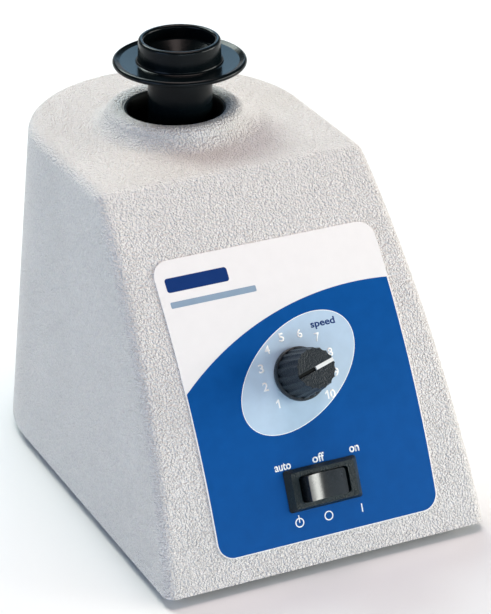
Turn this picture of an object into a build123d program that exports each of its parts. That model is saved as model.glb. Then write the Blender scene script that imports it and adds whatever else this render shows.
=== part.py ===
from build123d import *
import os
from math import asin, atan2, cos, hypot, radians, sin, sqrt

# Vortex mixer: a drafted cast housing with a curved sloping front, a black rubber cup
# head that orbits on an eccentric, and a sprung motor carriage for touch operation.
# Row frame: X to the right, -Y to the front, +Z up, the feet stand on z = 0.
# All sizes are in millimetres.

os.makedirs("parts", exist_ok=True)

# Driving dimensions of the body
BASE_WIDTH = 140.0  # housing width at its bottom edge
BODY_HEIGHT = 132.5  # bottom edge to flat top
BACK_DEPTH = 147.0  # front bottom edge to the middle of the half-round back
AXIS_DEPTH = 143.0  # front bottom edge to the motor axis
DRAFT = 5.0  # side and back draft, degrees
FRONT_RUN = 88.4  # how far the front leans back over its height
FRONT_BULGE = 9.8  # outward bow of the front over its chord
EDGE_ROUND = 4.5
WALL = 4.0
FOOT_HEIGHT = 5.0
RIM_Z = 4.0  # housing bottom edge above the table

# Driving dimensions of the mechanism
ORBIT = 2.45  # crank radius of the eccentric
RUN_GAP = 0.03  # radial running clearance of a bearing on its shaft
SHAFT_R = 4.0
MOTOR_SIDE = 68.0
PANEL_SKIN = 0.5  # thickness of the printed control overlay

# Driving dimensions of the controls
PANEL_X = 1.8  # middle of the overlay, the knob and the switch
KNOB_Z = RIM_Z + 66.6
KNOB_POINTER = 15.0  # pointer direction at rest, degrees from +X on the panel
SWITCH_Z = RIM_Z + 28.2
OVERLAY_WIDTH = 96.2
OVERLAY_CORNER = 7.0
OVERLAY_LOW = RIM_Z + 9.4
OVERLAY_HIGH = RIM_Z + 110.0
ROCKER_PIVOT = -3.0  # rocker pivot, measured outward from the panel

# Worked-out places
BASE_R = BASE_WIDTH / 2
FRONT_Y = -(BACK_DEPTH + BASE_R) / 2
BACK_Y = FRONT_Y + BACK_DEPTH
AXIS_Y = FRONT_Y + AXIS_DEPTH
TOP_Z = RIM_Z + BODY_HEIGHT
PLATE_Z = FOOT_HEIGHT  # underside of the base plate
PLATE_TOP = PLATE_Z + 6.0

# The front is one arc from the bottom edge to the crease below the flat top
chord = hypot(FRONT_RUN, BODY_HEIGHT)
FRONT_R = ((chord / 2) ** 2 + FRONT_BULGE**2) / (2 * FRONT_BULGE)
FRONT_CY = FRONT_Y + FRONT_RUN / 2 + (FRONT_R - FRONT_BULGE) * BODY_HEIGHT / chord
FRONT_CZ = RIM_Z + BODY_HEIGHT / 2 - (FRONT_R - FRONT_BULGE) * FRONT_RUN / chord


def front_y(z, outward=0.0):
    """Y of the front surface at height z, moved outward along its normal."""
    return FRONT_CY - sqrt((FRONT_R + outward) ** 2 - (z - FRONT_CZ) ** 2)


def panel_plane(z, spin=0.0):
    """Plane on the front surface: X across, Y up the slope, Z outward."""
    lean = asin((z - FRONT_CZ) / FRONT_R)
    turn_x = cos(radians(spin))
    turn_y = sin(radians(spin))
    across = (turn_x, turn_y * sin(lean), turn_y * cos(lean))
    return Plane(origin=(PANEL_X, front_y(z), z), x_dir=across, z_dir=(0, -cos(lean), sin(lean)))


def vertical_plane(x=0.0, y=AXIS_Y):
    """Upright plane through (x, y), facing the front, X to the right and Y up."""
    return Plane(origin=(x, y, 0), x_dir=(1, 0, 0), z_dir=(0, -1, 0))


def turn(points, x=0.0, y=AXIS_Y, mode=Mode.ADD):
    """Full turn of an (r, z) outline about the upright axis through (x, y)."""
    with BuildSketch(vertical_plane(x, y)) as outline:
        with BuildLine():
            Polyline(*points, close=True)
        make_face()
    revolve(outline.sketch, axis=Axis((x, y, 0), (0, 0, 1)), mode=mode)


def ring(inner, outer, low, high, x=0.0, y=AXIS_Y, mode=Mode.ADD):
    """Upright ring, or a disc when the inner radius is zero."""
    outline = [(inner, low), (outer, low), (outer, high), (inner, high)]
    turn(outline, x, y, mode)


def finish(piece, name):
    """Label a finished piece and write it to its own file."""
    piece.part.label = name
    export_step(piece.part, f"parts/{name}.step")


# ---------------------------------------------------------------- housing

INLET_FLAT_Y = BACK_Y + BASE_R - 10.5  # flat seat of the power inlet
INLET_LOW = 18.0
INLET_HIGH = 58.0
INLET_MIDDLE = (INLET_LOW + INLET_HIGH) / 2
BOSS_SPOTS = [(-61, -64), (61, -64), (-61, 0), (61, 0), (-43, BACK_Y + 43), (43, BACK_Y + 43)]
HOLE_R = 20.1
COLLAR_TOP = TOP_Z + 7.4
SWITCH_CUT = (27.4, 12.8)


def d_face(radius, front):
    """D outline: straight front and sides, half-round back."""
    with BuildLine() as outline:
        Polyline((-radius, BACK_Y), (-radius, front), (radius, front), (radius, BACK_Y))
        ThreePointArc((radius, BACK_Y), (0, BACK_Y + radius), (-radius, BACK_Y))
    make_face(outline.edges())


def side_face(inset):
    """Side view of the body: curved front, flat top, open room at the back."""
    low = (front_y(RIM_Z, -inset), RIM_Z)
    high = (front_y(TOP_Z - inset, -inset), TOP_Z - inset)
    back = -FRONT_Y + BASE_R
    with BuildLine() as outline:
        RadiusArc(low, high, FRONT_R - inset)
        Polyline(high, (back, TOP_Z - inset), (back, RIM_Z), low)
    make_face(outline.edges())


with BuildPart() as cavity:
    with BuildSketch(Plane.XY.offset(RIM_Z)):
        d_face(BASE_R - WALL / cos(radians(DRAFT)), FRONT_Y - WALL)
    extrude(amount=BODY_HEIGHT - WALL, taper=DRAFT)
    with BuildSketch(Plane.YZ):
        side_face(WALL)
    extrude(amount=BASE_WIDTH, both=True, mode=Mode.INTERSECT)
    # the casting stays solid round the power inlet's seat
    with BuildSketch(Plane.XZ.offset(WALL - INLET_FLAT_Y)):
        with Locations((0, INLET_MIDDLE)):
            Rectangle(52, INLET_HIGH - INLET_LOW + 12)
    extrude(amount=-20, mode=Mode.SUBTRACT)

with BuildPart() as housing:
    with BuildSketch(Plane.XY.offset(RIM_Z)):
        d_face(BASE_R, FRONT_Y - 2 * WALL)
    extrude(amount=BODY_HEIGHT, taper=DRAFT)
    with BuildSketch(Plane.YZ):
        side_face(0)
    extrude(amount=BASE_WIDTH, both=True, mode=Mode.INTERSECT)
    outer_edges = housing.edges().filter_by(lambda e: e.center().Z > RIM_Z + 1)
    seams = outer_edges.filter_by(lambda e: e.center().Y > BACK_Y - 1 and e.center().Z < TOP_Z - 1)
    fillet([e for e in outer_edges if e not in seams], EDGE_ROUND)
    add(cavity.part, mode=Mode.SUBTRACT)
    # raised collar round the cup head's hole
    with BuildSketch(vertical_plane()):
        with BuildLine():
            Polyline((19, TOP_Z - WALL), (19, COLLAR_TOP), (25.4, COLLAR_TOP))
            ThreePointArc((25.4, COLLAR_TOP), (27.6, COLLAR_TOP - 1.1), (28.8, COLLAR_TOP - 3.4))
            ThreePointArc((28.8, COLLAR_TOP - 3.4), (31.2, TOP_Z + 1.5), (35.5, TOP_Z))
            Polyline((35.5, TOP_Z), (35.5, TOP_Z - WALL), (19, TOP_Z - WALL))
        make_face()
    revolve(axis=Axis((0, AXIS_Y, 0), (0, 0, 1)))
    ring(0, HOLE_R, TOP_Z - 2 * WALL, COLLAR_TOP + 1, mode=Mode.SUBTRACT)
    hole_rim = housing.edges().filter_by(GeomType.CIRCLE)
    hole_rim = hole_rim.filter_by(lambda e: abs(e.radius - HOLE_R) < 0.01 and e.center().Z > TOP_Z)
    fillet(hole_rim, 3.2)
    # bosses that take the base plate screws
    with BuildSketch(Plane.XY.offset(PLATE_TOP)):
        with Locations(*BOSS_SPOTS):
            Circle(5)
    extrude(amount=16)
    # flat seat for the power inlet in the round back
    with BuildSketch(Plane.XZ.offset(-INLET_FLAT_Y)):
        with Locations((0, INLET_MIDDLE)):
            RectangleRounded(44, INLET_HIGH - INLET_LOW + 4, 3)
    extrude(amount=-20, mode=Mode.SUBTRACT)
    with BuildSketch(Plane.XZ.offset(-INLET_FLAT_Y)):
        with Locations((0, INLET_MIDDLE)):
            Rectangle(28.4, INLET_HIGH - INLET_LOW - 3.6)
    extrude(amount=20, both=True, mode=Mode.SUBTRACT)
    # cut-outs in the front for the potentiometer bush and the rocker switch
    with BuildSketch(panel_plane(KNOB_Z)):
        Circle(4.7)
    extrude(amount=10, both=True, mode=Mode.SUBTRACT)
    with BuildSketch(panel_plane(SWITCH_Z)):
        Rectangle(*SWITCH_CUT)
    extrude(amount=10, both=True, mode=Mode.SUBTRACT)
    with BuildSketch(Plane.XY.offset(PLATE_TOP)):
        with Locations(*BOSS_SPOTS):
            Circle(2)
    extrude(amount=13, mode=Mode.SUBTRACT)
finish(housing, "housing")

# ---------------------------------------------------------------- control overlay

low_point = (front_y(OVERLAY_LOW), OVERLAY_LOW)
high_point = (front_y(OVERLAY_HIGH), OVERLAY_HIGH)
overlay_lean = atan2(high_point[0] - low_point[0], high_point[1] - low_point[1])
overlay_height = hypot(high_point[0] - low_point[0], high_point[1] - low_point[1])
overlay_plane = Plane(
    origin=(PANEL_X, (low_point[0] + high_point[0]) / 2, (OVERLAY_LOW + OVERLAY_HIGH) / 2),
    x_dir=(1, 0, 0),
    z_dir=(0, -cos(overlay_lean), sin(overlay_lean)),
)
with BuildPart() as control_overlay:
    with BuildSketch(Plane.YZ):
        with BuildLine():
            inside = RadiusArc((front_y(RIM_Z + 2), RIM_Z + 2), (front_y(TOP_Z - 2), TOP_Z - 2), FRONT_R)
            outside = RadiusArc(
                (front_y(RIM_Z + 2, PANEL_SKIN), RIM_Z + 2),
                (front_y(TOP_Z - 2, PANEL_SKIN), TOP_Z - 2),
                FRONT_R + PANEL_SKIN,
            )
            Line(inside @ 0, outside @ 0)
            Line(inside @ 1, outside @ 1)
        make_face()
    extrude(amount=BASE_R, both=True)
    with BuildSketch(overlay_plane):
        RectangleRounded(OVERLAY_WIDTH, overlay_height, OVERLAY_CORNER)
    extrude(amount=20, both=True, mode=Mode.INTERSECT)
    with BuildSketch(panel_plane(KNOB_Z)):
        Circle(4.7)
    extrude(amount=10, both=True, mode=Mode.SUBTRACT)
    with BuildSketch(panel_plane(SWITCH_Z)):
        Rectangle(*SWITCH_CUT)
    extrude(amount=10, both=True, mode=Mode.SUBTRACT)
finish(control_overlay, "control_overlay")

# ---------------------------------------------------------------- base, feet, suspension

FOOT_SPOTS = {
    "front_left": (-50, FRONT_Y + 20),
    "front_right": (50, FRONT_Y + 20),
    "rear_left": (-40, BACK_Y + 36),
    "rear_right": (40, BACK_Y + 36),
}
POST_SPOTS = [(side * 44, AXIS_Y + end * 22) for side in (-1, 1) for end in (-1, 1)]
STANDOFF_SPOTS = [(side * 40, y) for side in (-1, 1) for y in (-57, -31)]
CARRIAGE_Z = 43.0  # underside of the carriage plate at rest
CARRIAGE_TOP = CARRIAGE_Z + 3.0

with BuildPart() as base_plate:
    with BuildSketch(Plane.XY.offset(PLATE_Z)):
        with BuildLine():
            edge_r = BASE_R - WALL - 1
            Polyline((-edge_r, BACK_Y), (-edge_r, FRONT_Y + 8), (edge_r, FRONT_Y + 8), (edge_r, BACK_Y))
            ThreePointArc((edge_r, BACK_Y), (0, BACK_Y + edge_r), (-edge_r, BACK_Y))
        make_face()
        # cooling slots under the motor and under the board
        with Locations((0, AXIS_Y), (0, -44)):
            with GridLocations(10, 10, 5, 2):
                SlotOverall(14, 4, rotation=90, mode=Mode.SUBTRACT)
        with Locations(*FOOT_SPOTS.values()):
            Circle(2, mode=Mode.SUBTRACT)
        with Locations(*POST_SPOTS):
            Circle(2.5, mode=Mode.SUBTRACT)
        with Locations(*BOSS_SPOTS):
            Circle(2.2, mode=Mode.SUBTRACT)
    extrude(amount=PLATE_TOP - PLATE_Z)
    with BuildSketch(Plane.XY.offset(PLATE_Z)):
        with Locations(*BOSS_SPOTS):
            Circle(4.3)
    extrude(amount=2.6, mode=Mode.SUBTRACT)
finish(base_plate, "base_plate")

with BuildPart() as base_screws:
    for x, y in BOSS_SPOTS:
        ring(0, 4, PLATE_Z + 0.2, PLATE_Z + 2.6, x, y)
        ring(0, 2, PLATE_Z + 2.6, PLATE_TOP + 12, x, y)
finish(base_screws, "base_screws")

for corner, (x, y) in FOOT_SPOTS.items():
    with BuildPart() as foot:
        sole = [(4.4, 1.8), (4.4, 0.4), (6, 0), (9.2, 0), (10, 0.8)]
        turn([(2, 1.8), *sole, (9, PLATE_Z), (2, PLATE_Z)], x, y)
    finish(foot, f"foot_{corner}")

with BuildPart() as foot_screws:
    for x, y in FOOT_SPOTS.values():
        ring(0, 4, 0.8, 1.8, x, y)
        ring(0, 2, 1.8, PLATE_TOP, x, y)
finish(foot_screws, "foot_screws")

with BuildPart() as guide_posts:
    for x, y in POST_SPOTS:
        ring(0, 2.5, PLATE_Z + 0.5, PLATE_TOP, x, y)
        spring_seat = [(0, PLATE_TOP), (7.5, PLATE_TOP), (7.5, 17), (3, 17)]
        turn([*spring_seat, (3, 50.1), (2.4, 50.1), (2.4, 57), (0, 57)], x, y)
finish(guide_posts, "guide_posts")

with BuildPart() as post_nuts:
    for x, y in POST_SPOTS:
        ring(2.4, 6, 50.1, 51.1, x, y)
    with BuildSketch(Plane.XY.offset(51.1)):
        with Locations(*POST_SPOTS):
            RegularPolygon(4.6, 6)
            Circle(2.4, mode=Mode.SUBTRACT)
    extrude(amount=4)
finish(post_nuts, "post_nuts")

SPRING_WIRE = 1.5
SPRING_LOW = 17.0
SPRING_HIGH = 40.0
with BuildPart() as return_springs:
    coil_low = SPRING_LOW + SPRING_WIRE / 2 + 0.05
    coil_rise = SPRING_HIGH - SPRING_LOW - SPRING_WIRE - 0.1
    with BuildLine():
        coil_start = (*POST_SPOTS[0], coil_low)
        coil = Helix(pitch=coil_rise / 5, height=coil_rise, radius=5.2, center=coil_start)
    with BuildSketch(Plane(origin=coil @ 0, z_dir=coil % 0)):
        Circle(SPRING_WIRE / 2)
    sweep()
    first_spring = return_springs.part
    spring_copies = [
        first_spring.moved(Location((x - POST_SPOTS[0][0], y - POST_SPOTS[0][1], 0)))
        for x, y in POST_SPOTS[1:]
    ]
    add(spring_copies)
finish(return_springs, "return_springs")

# ---------------------------------------------------------------- motor carriage

CORNERS = MOTOR_SIDE / 2 - 6
BOLT_SPOTS = [(sx * CORNERS, AXIS_Y + sy * CORNERS) for sx in (-1, 1) for sy in (-1, 1)]
BELL = 10.0
STACK_LOW = CARRIAGE_TOP + BELL
STACK_HIGH = STACK_LOW + 28.0
BELL_TOP = STACK_HIGH + BELL
BEARING_R = 11.0
BEARING_HEIGHT = 7.0
STATOR_BORE = 18.0
STRAP_POST_Y = AXIS_Y - 31


def motor_square(side, low, height, mode=Mode.ADD):
    """Square motor section with rounded corners and four bolt holes."""
    with BuildSketch(Plane.XY.offset(low)) as section:
        with Locations((0, AXIS_Y)):
            RectangleRounded(side, side, 8)
        with Locations(*BOLT_SPOTS):
            Circle(2.1, mode=Mode.SUBTRACT)
    extrude(section.sketch, amount=height, mode=mode)


with BuildPart() as carriage_plate:
    with BuildSketch(Plane.XY.offset(CARRIAGE_Z)):
        with Locations((0, AXIS_Y)):
            RectangleRounded(106, 62, 9)
            RectangleRounded(MOTOR_SIDE + 4, MOTOR_SIDE + 4, 8)
        with Locations((0, AXIS_Y - 42)):
            RectangleRounded(14, 20, 2)
        with Locations(*POST_SPOTS):
            Circle(5, mode=Mode.SUBTRACT)
        with Locations(*BOLT_SPOTS):
            Circle(2.1, mode=Mode.SUBTRACT)
        with Locations((0, AXIS_Y)):
            Circle(6, mode=Mode.SUBTRACT)
    extrude(amount=CARRIAGE_TOP - CARRIAGE_Z)
finish(carriage_plate, "carriage_plate")

with BuildPart() as guide_bushes:
    for x, y in POST_SPOTS:
        turn([(3.06, 40), (8, 40), (8, 43), (5, 43), (5, 50), (3.06, 50)], x, y)
finish(guide_bushes, "guide_bushes")

with BuildPart() as lower_end_bell:
    motor_square(MOTOR_SIDE, CARRIAGE_TOP, BELL)
    ring(13, 31, CARRIAGE_TOP + 3, STACK_LOW, mode=Mode.SUBTRACT)
    ring(0, BEARING_R, CARRIAGE_TOP + 3, STACK_LOW, mode=Mode.SUBTRACT)
    ring(0, 6, CARRIAGE_TOP, CARRIAGE_TOP + 3, mode=Mode.SUBTRACT)
finish(lower_end_bell, "lower_end_bell")

with BuildPart() as upper_end_bell:
    motor_square(MOTOR_SIDE, STACK_HIGH, BELL)
    ring(13, 31, STACK_HIGH, BELL_TOP - 3, mode=Mode.SUBTRACT)
    ring(0, BEARING_R, STACK_HIGH, BELL_TOP - 3, mode=Mode.SUBTRACT)
    ring(0, 6, BELL_TOP - 3, BELL_TOP, mode=Mode.SUBTRACT)
finish(upper_end_bell, "upper_end_bell")

with BuildPart() as stator_stack:
    motor_square(MOTOR_SIDE, STACK_LOW, STACK_HIGH - STACK_LOW)
    ring(0, STATOR_BORE, STACK_LOW, STACK_HIGH, mode=Mode.SUBTRACT)
    with BuildSketch(Plane.XY.offset(STACK_LOW)):
        with Locations((0, AXIS_Y)):
            with PolarLocations(24, 12):
                Rectangle(14, 5)
    extrude(amount=STACK_HIGH - STACK_LOW, mode=Mode.SUBTRACT)
finish(stator_stack, "stator_stack")

with BuildPart() as stator_windings:
    ring(20, 29, STACK_LOW - 4.5, STACK_LOW - 0.2)
    ring(20, 29, STACK_HIGH + 0.2, STACK_HIGH + 4.5)
    with BuildSketch(Plane.XY.offset(STACK_LOW - 1)):
        with Locations((0, AXIS_Y)):
            with PolarLocations(24.5, 12):
                Rectangle(8, 4.4)
    extrude(amount=STACK_HIGH - STACK_LOW + 2)
finish(stator_windings, "stator_windings")

with BuildPart() as motor_bearings:
    ring(SHAFT_R + RUN_GAP, BEARING_R, STACK_LOW - BEARING_HEIGHT, STACK_LOW)
    ring(SHAFT_R + RUN_GAP, BEARING_R, STACK_HIGH, STACK_HIGH + BEARING_HEIGHT)
finish(motor_bearings, "motor_bearings")

with BuildPart() as motor_bolts:
    for x, y in BOLT_SPOTS:
        ring(0, 3.5, BELL_TOP, BELL_TOP + 3, x, y)
        ring(0, 2, CARRIAGE_Z - 4, BELL_TOP, x, y)
finish(motor_bolts, "motor_bolts")

with BuildPart() as motor_nuts:
    with BuildSketch(Plane.XY.offset(CARRIAGE_Z - 3.2)):
        with Locations(*BOLT_SPOTS):
            RegularPolygon(4, 6)
            Circle(2, mode=Mode.SUBTRACT)
    extrude(amount=3.2)
finish(motor_nuts, "motor_nuts")

# ---------------------------------------------------------------- rotor and eccentric

HUB_LOW = 106.0
HUB_HIGH = 124.0

with BuildPart() as motor_shaft:
    turn([(0, 48), (3.5, 48), (4, 48.5), (4, 111.5), (3.5, 112), (0, 112)])
finish(motor_shaft, "motor_shaft")

with BuildPart() as rotor_core:
    ring(SHAFT_R, STATOR_BORE - 0.4, STACK_LOW + 1, STACK_HIGH - 1)
    ring(13.5, 17, STACK_LOW - 0.5, STACK_LOW + 1)
    ring(13.5, 17, STACK_HIGH - 1, STACK_HIGH + 0.5)
finish(rotor_core, "rotor_core")

with BuildPart() as cooling_fan:
    ring(SHAFT_R, 7, BELL_TOP + 2, BELL_TOP + 9)
    ring(7, 26, BELL_TOP + 2, BELL_TOP + 3.2)
    with BuildSketch(Plane.XY.offset(BELL_TOP + 3.2)):
        with Locations((0, AXIS_Y)):
            with PolarLocations(16.2, 9):
                Rectangle(19, 1.4, rotation=12)
    extrude(amount=5.5)
finish(cooling_fan, "cooling_fan")

with BuildPart() as eccentric:
    ring(0, 11, HUB_LOW, HUB_HIGH)
    # counterweight opposite the crank pin
    with BuildSketch(Plane.XY.offset(HUB_LOW + 2)):
        with BuildLine():
            outer = CenterArc((0, AXIS_Y), 26, 110, 140)
            inner = CenterArc((0, AXIS_Y), 8, 110, 140)
            Line(inner @ 0, outer @ 0)
            Line(inner @ 1, outer @ 1)
        make_face()
    extrude(amount=10)
    ring(0, SHAFT_R, HUB_LOW, HUB_LOW + 6, mode=Mode.SUBTRACT)
    ring(0, SHAFT_R, HUB_LOW + 8, HUB_HIGH, x=ORBIT, mode=Mode.SUBTRACT)
    with BuildSketch(Plane.XZ.offset(-AXIS_Y)):
        with Locations((0, HUB_LOW + 3.5)):
            Circle(1.6)
    extrude(amount=12, mode=Mode.SUBTRACT)
finish(eccentric, "eccentric")

with BuildPart() as eccentric_set_screw:
    with BuildSketch(Plane.XZ.offset(-AXIS_Y + SHAFT_R)):
        with Locations((0, HUB_LOW + 3.5)):
            Circle(1.6)
            RegularPolygon(0.8, 6, mode=Mode.SUBTRACT)
    extrude(amount=6.5)
finish(eccentric_set_screw, "eccentric_set_screw")

PIN_TOP = 147.0
with BuildPart() as crank_pin:
    ring(0, SHAFT_R, HUB_LOW + 8, PIN_TOP, x=ORBIT)
    ring(0, 1.5, PIN_TOP - 8, PIN_TOP, x=ORBIT, mode=Mode.SUBTRACT)
finish(crank_pin, "crank_pin")

with BuildPart() as head_retaining_screw:
    ring(0, 1.5, PIN_TOP - 7, PIN_TOP, x=ORBIT)
    ring(0, 5.5, PIN_TOP, PIN_TOP + 1, x=ORBIT)
    ring(0, 2.9, PIN_TOP + 1, PIN_TOP + 3, x=ORBIT)
finish(head_retaining_screw, "head_retaining_screw")

# ---------------------------------------------------------------- cup head

HEAD_LOW = HUB_HIGH + 0.5
HEAD_BEARING_R = 8.0
HEAD_HUB_R = 11.0
HEAD_HUB_TOP = 153.0
STEM_R = 13.25
FLANGE_R = 27.4
FLANGE_Z = RIM_Z + 159.7  # top of the flange's lip
RING_R = 16.9
RING_Z = RIM_Z + 168.4  # top of the ring
SOCKET_R = 14.3
LEDGE_Z = RING_Z - 5.4

with BuildPart() as head_bearings:
    ring(SHAFT_R + RUN_GAP, HEAD_BEARING_R, 129, 134, x=ORBIT)
    ring(SHAFT_R + RUN_GAP, HEAD_BEARING_R, 141.9, 146.9, x=ORBIT)
finish(head_bearings, "head_bearings")

with BuildPart() as bearing_spacer:
    ring(HEAD_BEARING_R - 1.5, HEAD_BEARING_R, 134, 141.9, x=ORBIT)
finish(bearing_spacer, "bearing_spacer")

with BuildPart() as head_hub:
    ring(0, HEAD_HUB_R, HEAD_LOW, HEAD_HUB_TOP, x=ORBIT)
    ring(0, HEAD_BEARING_R, HEAD_LOW, HEAD_HUB_TOP - 2.2, x=ORBIT, mode=Mode.SUBTRACT)
finish(head_hub, "head_hub")

with BuildPart() as splash_disc:
    turn(
        [(HEAD_HUB_R, 125), (21.5, 125), (24, 123.5), (24.7, 124.4), (22, 126.5), (HEAD_HUB_R, 126.5)],
        x=ORBIT,
    )
finish(splash_disc, "splash_disc")

# the socket's bottom is a ball of this radius, 2 mm deep over a 5 mm radius
BOWL_R = (5**2 + 2**2) / (2 * 2)
bowl_middle = FLANGE_Z - 6 + BOWL_R - sqrt(BOWL_R**2 - 2.5**2)
with BuildPart() as cup_head:
    with BuildSketch(vertical_plane(ORBIT)):
        with BuildLine():
            Polyline((0, HEAD_HUB_TOP), (HEAD_HUB_R, HEAD_HUB_TOP), (HEAD_HUB_R, 126.5), (STEM_R, 126.5))
            Line((STEM_R, 126.5), (STEM_R, FLANGE_Z - 6.5))
            # underside of the flange, its round lip and its dished top
            neck = (STEM_R + 3.4, FLANGE_Z - 3.2)
            ThreePointArc((STEM_R, FLANGE_Z - 6.5), (STEM_R + 1, FLANGE_Z - 4.2), neck)
            lip_low = (FLANGE_R - 1.2, FLANGE_Z - 2.4)
            Line(neck, lip_low)
            lip_top = (FLANGE_R - 1.1, FLANGE_Z)
            ThreePointArc(lip_low, (FLANGE_R, FLANGE_Z - 1.2), lip_top)
            dish_edge = (FLANGE_R - 3, FLANGE_Z - 0.8)
            ThreePointArc(lip_top, (FLANGE_R - 2, FLANGE_Z - 0.4), dish_edge)
            dish_foot = (RING_R + 1.4, FLANGE_Z - 1.1)
            Line(dish_edge, dish_foot)
            ring_foot = (RING_R + 0.2, FLANGE_Z)
            ThreePointArc(dish_foot, (RING_R + 0.6, FLANGE_Z - 0.8), ring_foot)
            # the upstanding ring with a round top
            ring_top = (RING_R - 0.1, RING_Z - 1.3)
            Line(ring_foot, ring_top)
            ThreePointArc(ring_top, (RING_R - 1.35, RING_Z), (SOCKET_R, RING_Z - 1.3))
            # the socket: straight wall, ledge, cone and rounded bottom
            cone_foot = (5, FLANGE_Z - 4)
            Polyline((SOCKET_R, RING_Z - 1.3), (SOCKET_R, LEDGE_Z), (13, LEDGE_Z - 0.3), cone_foot)
            ThreePointArc(cone_foot, (2.5, bowl_middle), (0, FLANGE_Z - 6))
            Line((0, FLANGE_Z - 6), (0, HEAD_HUB_TOP))
        make_face()
    revolve(axis=Axis((ORBIT, AXIS_Y, 0), (0, 0, 1)))
finish(cup_head, "cup_head")

# flexible strap that lets the head orbit but keeps it from spinning
with BuildPart() as strap_post:
    ring(0, 2.5, BELL_TOP, HEAD_LOW, y=STRAP_POST_Y)
    ring(0, 1.5, HEAD_LOW, 128.6, y=STRAP_POST_Y)
finish(strap_post, "strap_post")

with BuildPart() as anti_spin_strap:
    with BuildSketch(Plane.XY.offset(126.6)):
        with Locations((ORBIT / 2, (STRAP_POST_Y + AXIS_Y - 15) / 2)):
            SlotOverall(AXIS_Y - 15 - STRAP_POST_Y + 8, 8, rotation=90)
        with Locations((0, STRAP_POST_Y)):
            Circle(1.6, mode=Mode.SUBTRACT)
    extrude(amount=1.4)
    ring(0, STEM_R + 0.1, 126, 129, x=ORBIT, mode=Mode.SUBTRACT)
finish(anti_spin_strap, "anti_spin_strap")

# ---------------------------------------------------------------- speed control

KNOB_LOW = PANEL_SKIN + 0.7
KNOB_TOP = 18.4
knob_plane = panel_plane(KNOB_Z, KNOB_POINTER)
pot_plane = panel_plane(KNOB_Z)

with BuildPart() as potentiometer:
    with BuildSketch(pot_plane.offset(-16.6)):
        Circle(12)
        with Locations((0, -13)):
            Rectangle(17, 8)
    extrude(amount=12)
    with BuildSketch(pot_plane.offset(-15.2)):
        Circle(10.6)
    extrude(amount=9, mode=Mode.SUBTRACT)
    with BuildSketch(pot_plane.offset(-4.6)):
        Circle(4.5)
    extrude(amount=8.4)
    with BuildSketch(pot_plane.offset(-7)):
        Circle(3.06)
    extrude(amount=12, mode=Mode.SUBTRACT)
    # solder tags
    with BuildSketch(pot_plane.offset(-11.4)):
        with Locations((-5, -18.5), (0, -18.5), (5, -18.5)):
            Rectangle(2, 7)
    extrude(amount=0.8)
finish(potentiometer, "potentiometer")

with BuildPart() as pot_nut:
    with BuildSketch(pot_plane.offset(PANEL_SKIN + 0.05)):
        Circle(7.4)
        Circle(4.5, mode=Mode.SUBTRACT)
    extrude(amount=0.6)
    with BuildSketch(pot_plane.offset(PANEL_SKIN + 0.65)):
        RegularPolygon(6.6, 6)
        Circle(4.5, mode=Mode.SUBTRACT)
    extrude(amount=2.2)
finish(pot_nut, "pot_nut")

with BuildPart() as pot_shaft:
    with BuildSketch(pot_plane.offset(-13.6)):
        Circle(3)
    extrude(amount=13.6 + KNOB_TOP - 3.4)
finish(pot_shaft, "pot_shaft")

with BuildPart() as pot_wiper:
    with BuildSketch(pot_plane.offset(-11.5)):
        Circle(9.4)
        Circle(3, mode=Mode.SUBTRACT)
    extrude(amount=1.5)
finish(pot_wiper, "pot_wiper")

FLUTES = 18
with BuildPart() as speed_knob:
    with BuildSketch(knob_plane.offset(KNOB_LOW)):
        Circle(10.75)
    extrude(amount=2.2)
    skirt_edges = speed_knob.edges().filter_by(GeomType.CIRCLE)
    fillet(skirt_edges.sort_by(Axis(knob_plane.origin, knob_plane.z_dir))[-1], 0.8)
    with BuildSketch(knob_plane.offset(KNOB_LOW + 2.2)):
        Circle(10.0)
        with PolarLocations(10.35, FLUTES):
            Circle(0.95, mode=Mode.SUBTRACT)
    extrude(amount=KNOB_TOP - KNOB_LOW - 2.2, taper=6.5)
    # hollow underside over the nut, shaft bore, pointer groove and set screw hole
    with BuildSketch(knob_plane.offset(KNOB_LOW)):
        Circle(8.2)
    extrude(amount=3.2, mode=Mode.SUBTRACT)
    with BuildSketch(knob_plane.offset(KNOB_LOW)):
        Circle(3)
    extrude(amount=KNOB_TOP - 3.4 - KNOB_LOW, mode=Mode.SUBTRACT)
    with BuildSketch(knob_plane.offset(KNOB_TOP - 0.8)):
        Rectangle(20, 1.5)
    extrude(amount=2, mode=Mode.SUBTRACT)
    screw_origin = knob_plane.offset(9).origin
    set_screw_plane = Plane(origin=screw_origin, x_dir=knob_plane.x_dir, z_dir=-knob_plane.y_dir)
    with BuildSketch(set_screw_plane.offset(3)):
        Circle(1.5)
    extrude(amount=10, mode=Mode.SUBTRACT)
finish(speed_knob, "speed_knob")

with BuildPart() as knob_pointer:
    with BuildSketch(knob_plane.offset(KNOB_TOP - 0.8)):
        with Locations((4.05, 0)):
            Rectangle(8.1, 1.5)
    extrude(amount=0.9)
finish(knob_pointer, "knob_pointer")

with BuildPart() as knob_set_screw:
    with BuildSketch(set_screw_plane.offset(3)):
        Circle(1.5)
        RegularPolygon(0.75, 6, mode=Mode.SUBTRACT)
    extrude(amount=4.5)
finish(knob_set_screw, "knob_set_screw")

# ---------------------------------------------------------------- rocker switch

WINDOW = (21.4, 10.6)
BEZEL_BASE = (31.8, 16.8)
BEZEL_TOP = (27.4, 14.4)
BEZEL_HEIGHT = 2.4
switch_plane = panel_plane(SWITCH_Z)

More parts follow.
